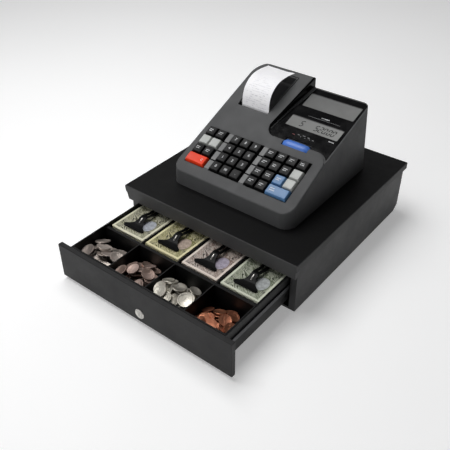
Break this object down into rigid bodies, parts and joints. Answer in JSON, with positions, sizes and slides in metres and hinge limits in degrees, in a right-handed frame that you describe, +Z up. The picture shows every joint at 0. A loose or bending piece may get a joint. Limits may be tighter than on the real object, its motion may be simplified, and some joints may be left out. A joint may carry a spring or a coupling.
{
  "type": "cash register",
  "caption": "Compact shop cash register: sloped keyboard head with display and receipt printer on a steel cabinet with an opened cash drawer.",
  "frame": {"origin": "middle of the whole footprint on the counter, with the drawer open at its stop", "axes": "+X to the operator's right, +Y to the back of the register, +Z up; the drawer opens towards -Y"},
  "size_m": [0.335, 0.4992, 0.238],
  "materials": {
    "lid_steel": "satin powder coat",
    "body_steel": "satin powder coat",
    "front_steel": "satin powder coat",
    "box_steel": "satin powder coat",
    "bright_steel": "zinc plated",
    "lock_chrome": "satin",
    "rubber": "matt",
    "till_plastic": "fine grain",
    "clip_plastic": "semi gloss",
    "case_plastic": "fine spark grain",
    "cover_plastic": "fine spark grain",
    "base_plastic": "matt",
    "panel_gloss": "high gloss",
    "lcd_glass": "satin",
    "key_black": "satin",
    "key_light": "satin",
    "key_blue": "satin",
    "key_red": "satin",
    "dial_blue": "satin",
    "paper": "matt"
  },
  "bodies": {
    "cabinet": {"cabinet_body": "body_steel", "cabinet_lid": "lid_steel", "foot_left": "rubber", "foot_right": "rubber", "rail_left": "bright_steel", "rail_right": "bright_steel", "head_case": "case_plastic", "head_base": "base_plastic", "keyboard_base": "base_plastic", "display_panel": "panel_gloss", "display_module": "lcd_glass", "printer_unit": "base_plastic"},
    "drawer": {"drawer_front": "front_steel", "drawer_box": "box_steel", "till_tray": "till_plastic", "lock_housing": "lock_chrome"},
    "bill_clip_1": {"bill_clip_1": "clip_plastic"},
    "bill_clip_2": {"bill_clip_2": "clip_plastic"},
    "bill_clip_3": {"bill_clip_3": "clip_plastic"},
    "bill_clip_4": {"bill_clip_4": "clip_plastic"},
    "lock_plug": {"lock_plug": "lock_chrome"},
    "mode_dial": {"mode_dial": "dial_blue"},
    "printer_cover": {"printer_cover": "cover_plastic", "receipt_paper": "paper"},
    "paper_roll": {"paper_roll": "paper"},
    "drawer_latch": {"drawer_latch": "bright_steel"},
    "key_clear": {"key_clear": "key_red"},
    "key_0": {"key_0": "key_black"},
    "key_00": {"key_00": "key_black"},
    "key_point": {"key_point": "key_black"},
    "key_right_0_0": {"key_right_0_0": "key_black"},
    "key_right_0_1": {"key_right_0_1": "key_black"},
    "key_total": {"key_total": "key_blue"},
    "key_left_1_0": {"key_left_1_0": "key_black"},
    "key_left_1_1": {"key_left_1_1": "key_black"},
    "key_1": {"key_1": "key_black"},
    "key_2": {"key_2": "key_black"},
    "key_3": {"key_3": "key_black"},
    "key_right_1_0": {"key_right_1_0": "key_black"},
    "key_right_1_1": {"key_right_1_1": "key_black"},
    "key_right_1_2": {"key_right_1_2": "key_blue"},
    "key_right_1_3": {"key_right_1_3": "key_light"},
    "key_left_2_0": {"key_left_2_0": "key_light"},
    "key_left_2_1": {"key_left_2_1": "key_light"},
    "key_4": {"key_4": "key_black"},
    "key_5": {"key_5": "key_black"},
    "key_6": {"key_6": "key_black"},
    "key_right_2_0": {"key_right_2_0": "key_black"},
    "key_right_2_1": {"key_right_2_1": "key_black"},
    "key_right_2_2": {"key_right_2_2": "key_black"},
    "key_right_2_3": {"key_right_2_3": "key_light"},
    "key_left_3_0": {"key_left_3_0": "key_black"},
    "key_left_3_1": {"key_left_3_1": "key_black"},
    "key_7": {"key_7": "key_black"},
    "key_8": {"key_8": "key_black"},
    "key_9": {"key_9": "key_black"},
    "key_right_3_0": {"key_right_3_0": "key_black"},
    "key_right_3_1": {"key_right_3_1": "key_black"},
    "key_right_3_2": {"key_right_3_2": "key_black"},
    "key_right_3_3": {"key_right_3_3": "key_black"}
  },
  "joints": [
    {"name": "drawer_slide", "type": "slide", "parent": "cabinet", "child": "drawer", "axis": [0, -1, 0], "range_m": [-0.147, 0]},
    {"name": "bill_clip_1_lift", "type": "hinge", "parent": "drawer", "child": "bill_clip_1", "pos_m": [-0.11047, -0.0074, 0.0606], "axis": [-1, 0, 0], "range_deg": [0, 3], "stiffness_Nm_per_rad": 0.3, "springref_deg": -20.05},
    {"name": "bill_clip_2_lift", "type": "hinge", "parent": "drawer", "child": "bill_clip_2", "pos_m": [-0.03683, -0.0074, 0.0606], "axis": [-1, 0, 0], "range_deg": [0, 3], "stiffness_Nm_per_rad": 0.3, "springref_deg": -20.05},
    {"name": "bill_clip_3_lift", "type": "hinge", "parent": "drawer", "child": "bill_clip_3", "pos_m": [0.03682, -0.0074, 0.0606], "axis": [-1, 0, 0], "range_deg": [0, 3], "stiffness_Nm_per_rad": 0.3, "springref_deg": -20.05},
    {"name": "bill_clip_4_lift", "type": "hinge", "parent": "drawer", "child": "bill_clip_4", "pos_m": [0.11047, -0.0074, 0.0606], "axis": [-1, 0, 0], "range_deg": [0, 3], "stiffness_Nm_per_rad": 0.3, "springref_deg": -20.05},
    {"name": "lock_turn", "type": "hinge", "parent": "drawer", "child": "lock_plug", "pos_m": [0, -0.2494, 0.022], "axis": [0, 1, 0], "range_deg": [0, 90]},
    {"name": "mode_dial_turn", "type": "hinge", "parent": "cabinet", "child": "mode_dial", "pos_m": [0.0515, 0.0671, 0.16941], "axis": [1, 0, 0], "range_deg": [-60, 60]},
    {"name": "printer_cover_lift", "type": "hinge", "parent": "cabinet", "child": "printer_cover", "pos_m": [-0.057, 0.1774, 0.22718], "axis": [-1, 0, 0], "range_deg": [0, 62]},
    {"name": "paper_roll_turn", "type": "hinge", "parent": "cabinet", "child": "paper_roll", "pos_m": [-0.054, 0.1446, 0.1583], "axis": [1, 0, 0], "continuous": true},
    {"name": "latch_lift", "type": "hinge", "parent": "cabinet", "child": "drawer_latch", "pos_m": [0, 0.2416, 0.014], "axis": [-1, 0, 0], "range_deg": [0, 20]},
    {"name": "key_clear_press", "type": "slide", "parent": "cabinet", "child": "key_clear", "axis": [0, 0.4147, -0.91], "range_m": [0, 0.003], "stiffness_N_per_m": 150, "springref_m": -0.0016},
    {"name": "key_0_press", "type": "slide", "parent": "cabinet", "child": "key_0", "axis": [0, 0.4147, -0.91], "range_m": [0, 0.003], "stiffness_N_per_m": 150, "springref_m": -0.0016},
    {"name": "key_00_press", "type": "slide", "parent": "cabinet", "child": "key_00", "axis": [0, 0.4147, -0.91], "range_m": [0, 0.003], "stiffness_N_per_m": 150, "springref_m": -0.0016},
    {"name": "key_point_press", "type": "slide", "parent": "cabinet", "child": "key_point", "axis": [0, 0.4147, -0.91], "range_m": [0, 0.003], "stiffness_N_per_m": 150, "springref_m": -0.0016},
    {"name": "key_right_0_0_press", "type": "slide", "parent": "cabinet", "child": "key_right_0_0", "axis": [0, 0.4147, -0.91], "range_m": [0, 0.003], "stiffness_N_per_m": 150, "springref_m": -0.0016},
    {"name": "key_right_0_1_press", "type": "slide", "parent": "cabinet", "child": "key_right_0_1", "axis": [0, 0.4147, -0.91], "range_m": [0, 0.003], "stiffness_N_per_m": 150, "springref_m": -0.0016},
    {"name": "key_total_press", "type": "slide", "parent": "cabinet", "child": "key_total", "axis": [0, 0.4147, -0.91], "range_m": [0, 0.003], "stiffness_N_per_m": 150, "springref_m": -0.0016},
    {"name": "key_left_1_0_press", "type": "slide", "parent": "cabinet", "child": "key_left_1_0", "axis": [0, 0.4147, -0.91], "range_m": [0, 0.003], "stiffness_N_per_m": 150, "springref_m": -0.0016},
    {"name": "key_left_1_1_press", "type": "slide", "parent": "cabinet", "child": "key_left_1_1", "axis": [0, 0.4147, -0.91], "range_m": [0, 0.003], "stiffness_N_per_m": 150, "springref_m": -0.0016},
    {"name": "key_1_press", "type": "slide", "parent": "cabinet", "child": "key_1", "axis": [0, 0.4147, -0.91], "range_m": [0, 0.003], "stiffness_N_per_m": 150, "springref_m": -0.0016},
    {"name": "key_2_press", "type": "slide", "parent": "cabinet", "child": "key_2", "axis": [0, 0.4147, -0.91], "range_m": [0, 0.003], "stiffness_N_per_m": 150, "springref_m": -0.0016},
    {"name": "key_3_press", "type": "slide", "parent": "cabinet", "child": "key_3", "axis": [0, 0.4147, -0.91], "range_m": [0, 0.003], "stiffness_N_per_m": 150, "springref_m": -0.0016},
    {"name": "key_right_1_0_press", "type": "slide", "parent": "cabinet", "child": "key_right_1_0", "axis": [0, 0.4147, -0.91], "range_m": [0, 0.003], "stiffness_N_per_m": 150, "springref_m": -0.0016},
    {"name": "key_right_1_1_press", "type": "slide", "parent": "cabinet", "child": "key_right_1_1", "axis": [0, 0.4147, -0.91], "range_m": [0, 0.003], "stiffness_N_per_m": 150, "springref_m": -0.0016},
    {"name": "key_right_1_2_press", "type": "slide", "parent": "cabinet", "child": "key_right_1_2", "axis": [0, 0.4147, -0.91], "range_m": [0, 0.003], "stiffness_N_per_m": 150, "springref_m": -0.0016},
    {"name": "key_right_1_3_press", "type": "slide", "parent": "cabinet", "child": "key_right_1_3", "axis": [0, 0.4147, -0.91], "range_m": [0, 0.003], "stiffness_N_per_m": 150, "springref_m": -0.0016},
    {"name": "key_left_2_0_press", "type": "slide", "parent": "cabinet", "child": "key_left_2_0", "axis": [0, 0.4147, -0.91], "range_m": [0, 0.003], "stiffness_N_per_m": 150, "springref_m": -0.0016},
    {"name": "key_left_2_1_press", "type": "slide", "parent": "cabinet", "child": "key_left_2_1", "axis": [0, 0.4147, -0.91], "range_m": [0, 0.003], "stiffness_N_per_m": 150, "springref_m": -0.0016},
    {"name": "key_4_press", "type": "slide", "parent": "cabinet", "child": "key_4", "axis": [0, 0.4147, -0.91], "range_m": [0, 0.003], "stiffness_N_per_m": 150, "springref_m": -0.0016},
    {"name": "key_5_press", "type": "slide", "parent": "cabinet", "child": "key_5", "axis": [0, 0.4147, -0.91], "range_m": [0, 0.003], "stiffness_N_per_m": 150, "springref_m": -0.0016},
    {"name": "key_6_press", "type": "slide", "parent": "cabinet", "child": "key_6", "axis": [0, 0.4147, -0.91], "range_m": [0, 0.003], "stiffness_N_per_m": 150, "springref_m": -0.0016},
    {"name": "key_right_2_0_press", "type": "slide", "parent": "cabinet", "child": "key_right_2_0", "axis": [0, 0.4147, -0.91], "range_m": [0, 0.003], "stiffness_N_per_m": 150, "springref_m": -0.0016},
    {"name": "key_right_2_1_press", "type": "slide", "parent": "cabinet", "child": "key_right_2_1", "axis": [0, 0.4147, -0.91], "range_m": [0, 0.003], "stiffness_N_per_m": 150, "springref_m": -0.0016},
    {"name": "key_right_2_2_press", "type": "slide", "parent": "cabinet", "child": "key_right_2_2", "axis": [0, 0.4147, -0.91], "range_m": [0, 0.003], "stiffness_N_per_m": 150, "springref_m": -0.0016},
    {"name": "key_right_2_3_press", "type": "slide", "parent": "cabinet", "child": "key_right_2_3", "axis": [0, 0.4147, -0.91], "range_m": [0, 0.003], "stiffness_N_per_m": 150, "springref_m": -0.0016},
    {"name": "key_left_3_0_press", "type": "slide", "parent": "cabinet", "child": "key_left_3_0", "axis": [0, 0.4147, -0.91], "range_m": [0, 0.003], "stiffness_N_per_m": 150, "springref_m": -0.0016},
    {"name": "key_left_3_1_press", "type": "slide", "parent": "cabinet", "child": "key_left_3_1", "axis": [0, 0.4147, -0.91], "range_m": [0, 0.003], "stiffness_N_per_m": 150, "springref_m": -0.0016},
    {"name": "key_7_press", "type": "slide", "parent": "cabinet", "child": "key_7", "axis": [0, 0.4147, -0.91], "range_m": [0, 0.003], "stiffness_N_per_m": 150, "springref_m": -0.0016},
    {"name": "key_8_press", "type": "slide", "parent": "cabinet", "child": "key_8", "axis": [0, 0.4147, -0.91], "range_m": [0, 0.003], "stiffness_N_per_m": 150, "springref_m": -0.0016},
    {"name": "key_9_press", "type": "slide", "parent": "cabinet", "child": "key_9", "axis": [0, 0.4147, -0.91], "range_m": [0, 0.003], "stiffness_N_per_m": 150, "springref_m": -0.0016},
    {"name": "key_right_3_0_press", "type": "slide", "parent": "cabinet", "child": "key_right_3_0", "axis": [0, 0.4147, -0.91], "range_m": [0, 0.003], "stiffness_N_per_m": 150, "springref_m": -0.0016},
    {"name": "key_right_3_1_press", "type": "slide", "parent": "cabinet", "child": "key_right_3_1", "axis": [0, 0.4147, -0.91], "range_m": [0, 0.003], "stiffness_N_per_m": 150, "springref_m": -0.0016},
    {"name": "key_right_3_2_press", "type": "slide", "parent": "cabinet", "child": "key_right_3_2", "axis": [0, 0.4147, -0.91], "range_m": [0, 0.003], "stiffness_N_per_m": 150, "springref_m": -0.0016},
    {"name": "key_right_3_3_press", "type": "slide", "parent": "cabinet", "child": "key_right_3_3", "axis": [0, 0.4147, -0.91], "range_m": [0, 0.003], "stiffness_N_per_m": 150, "springref_m": -0.0016}
  ]
}
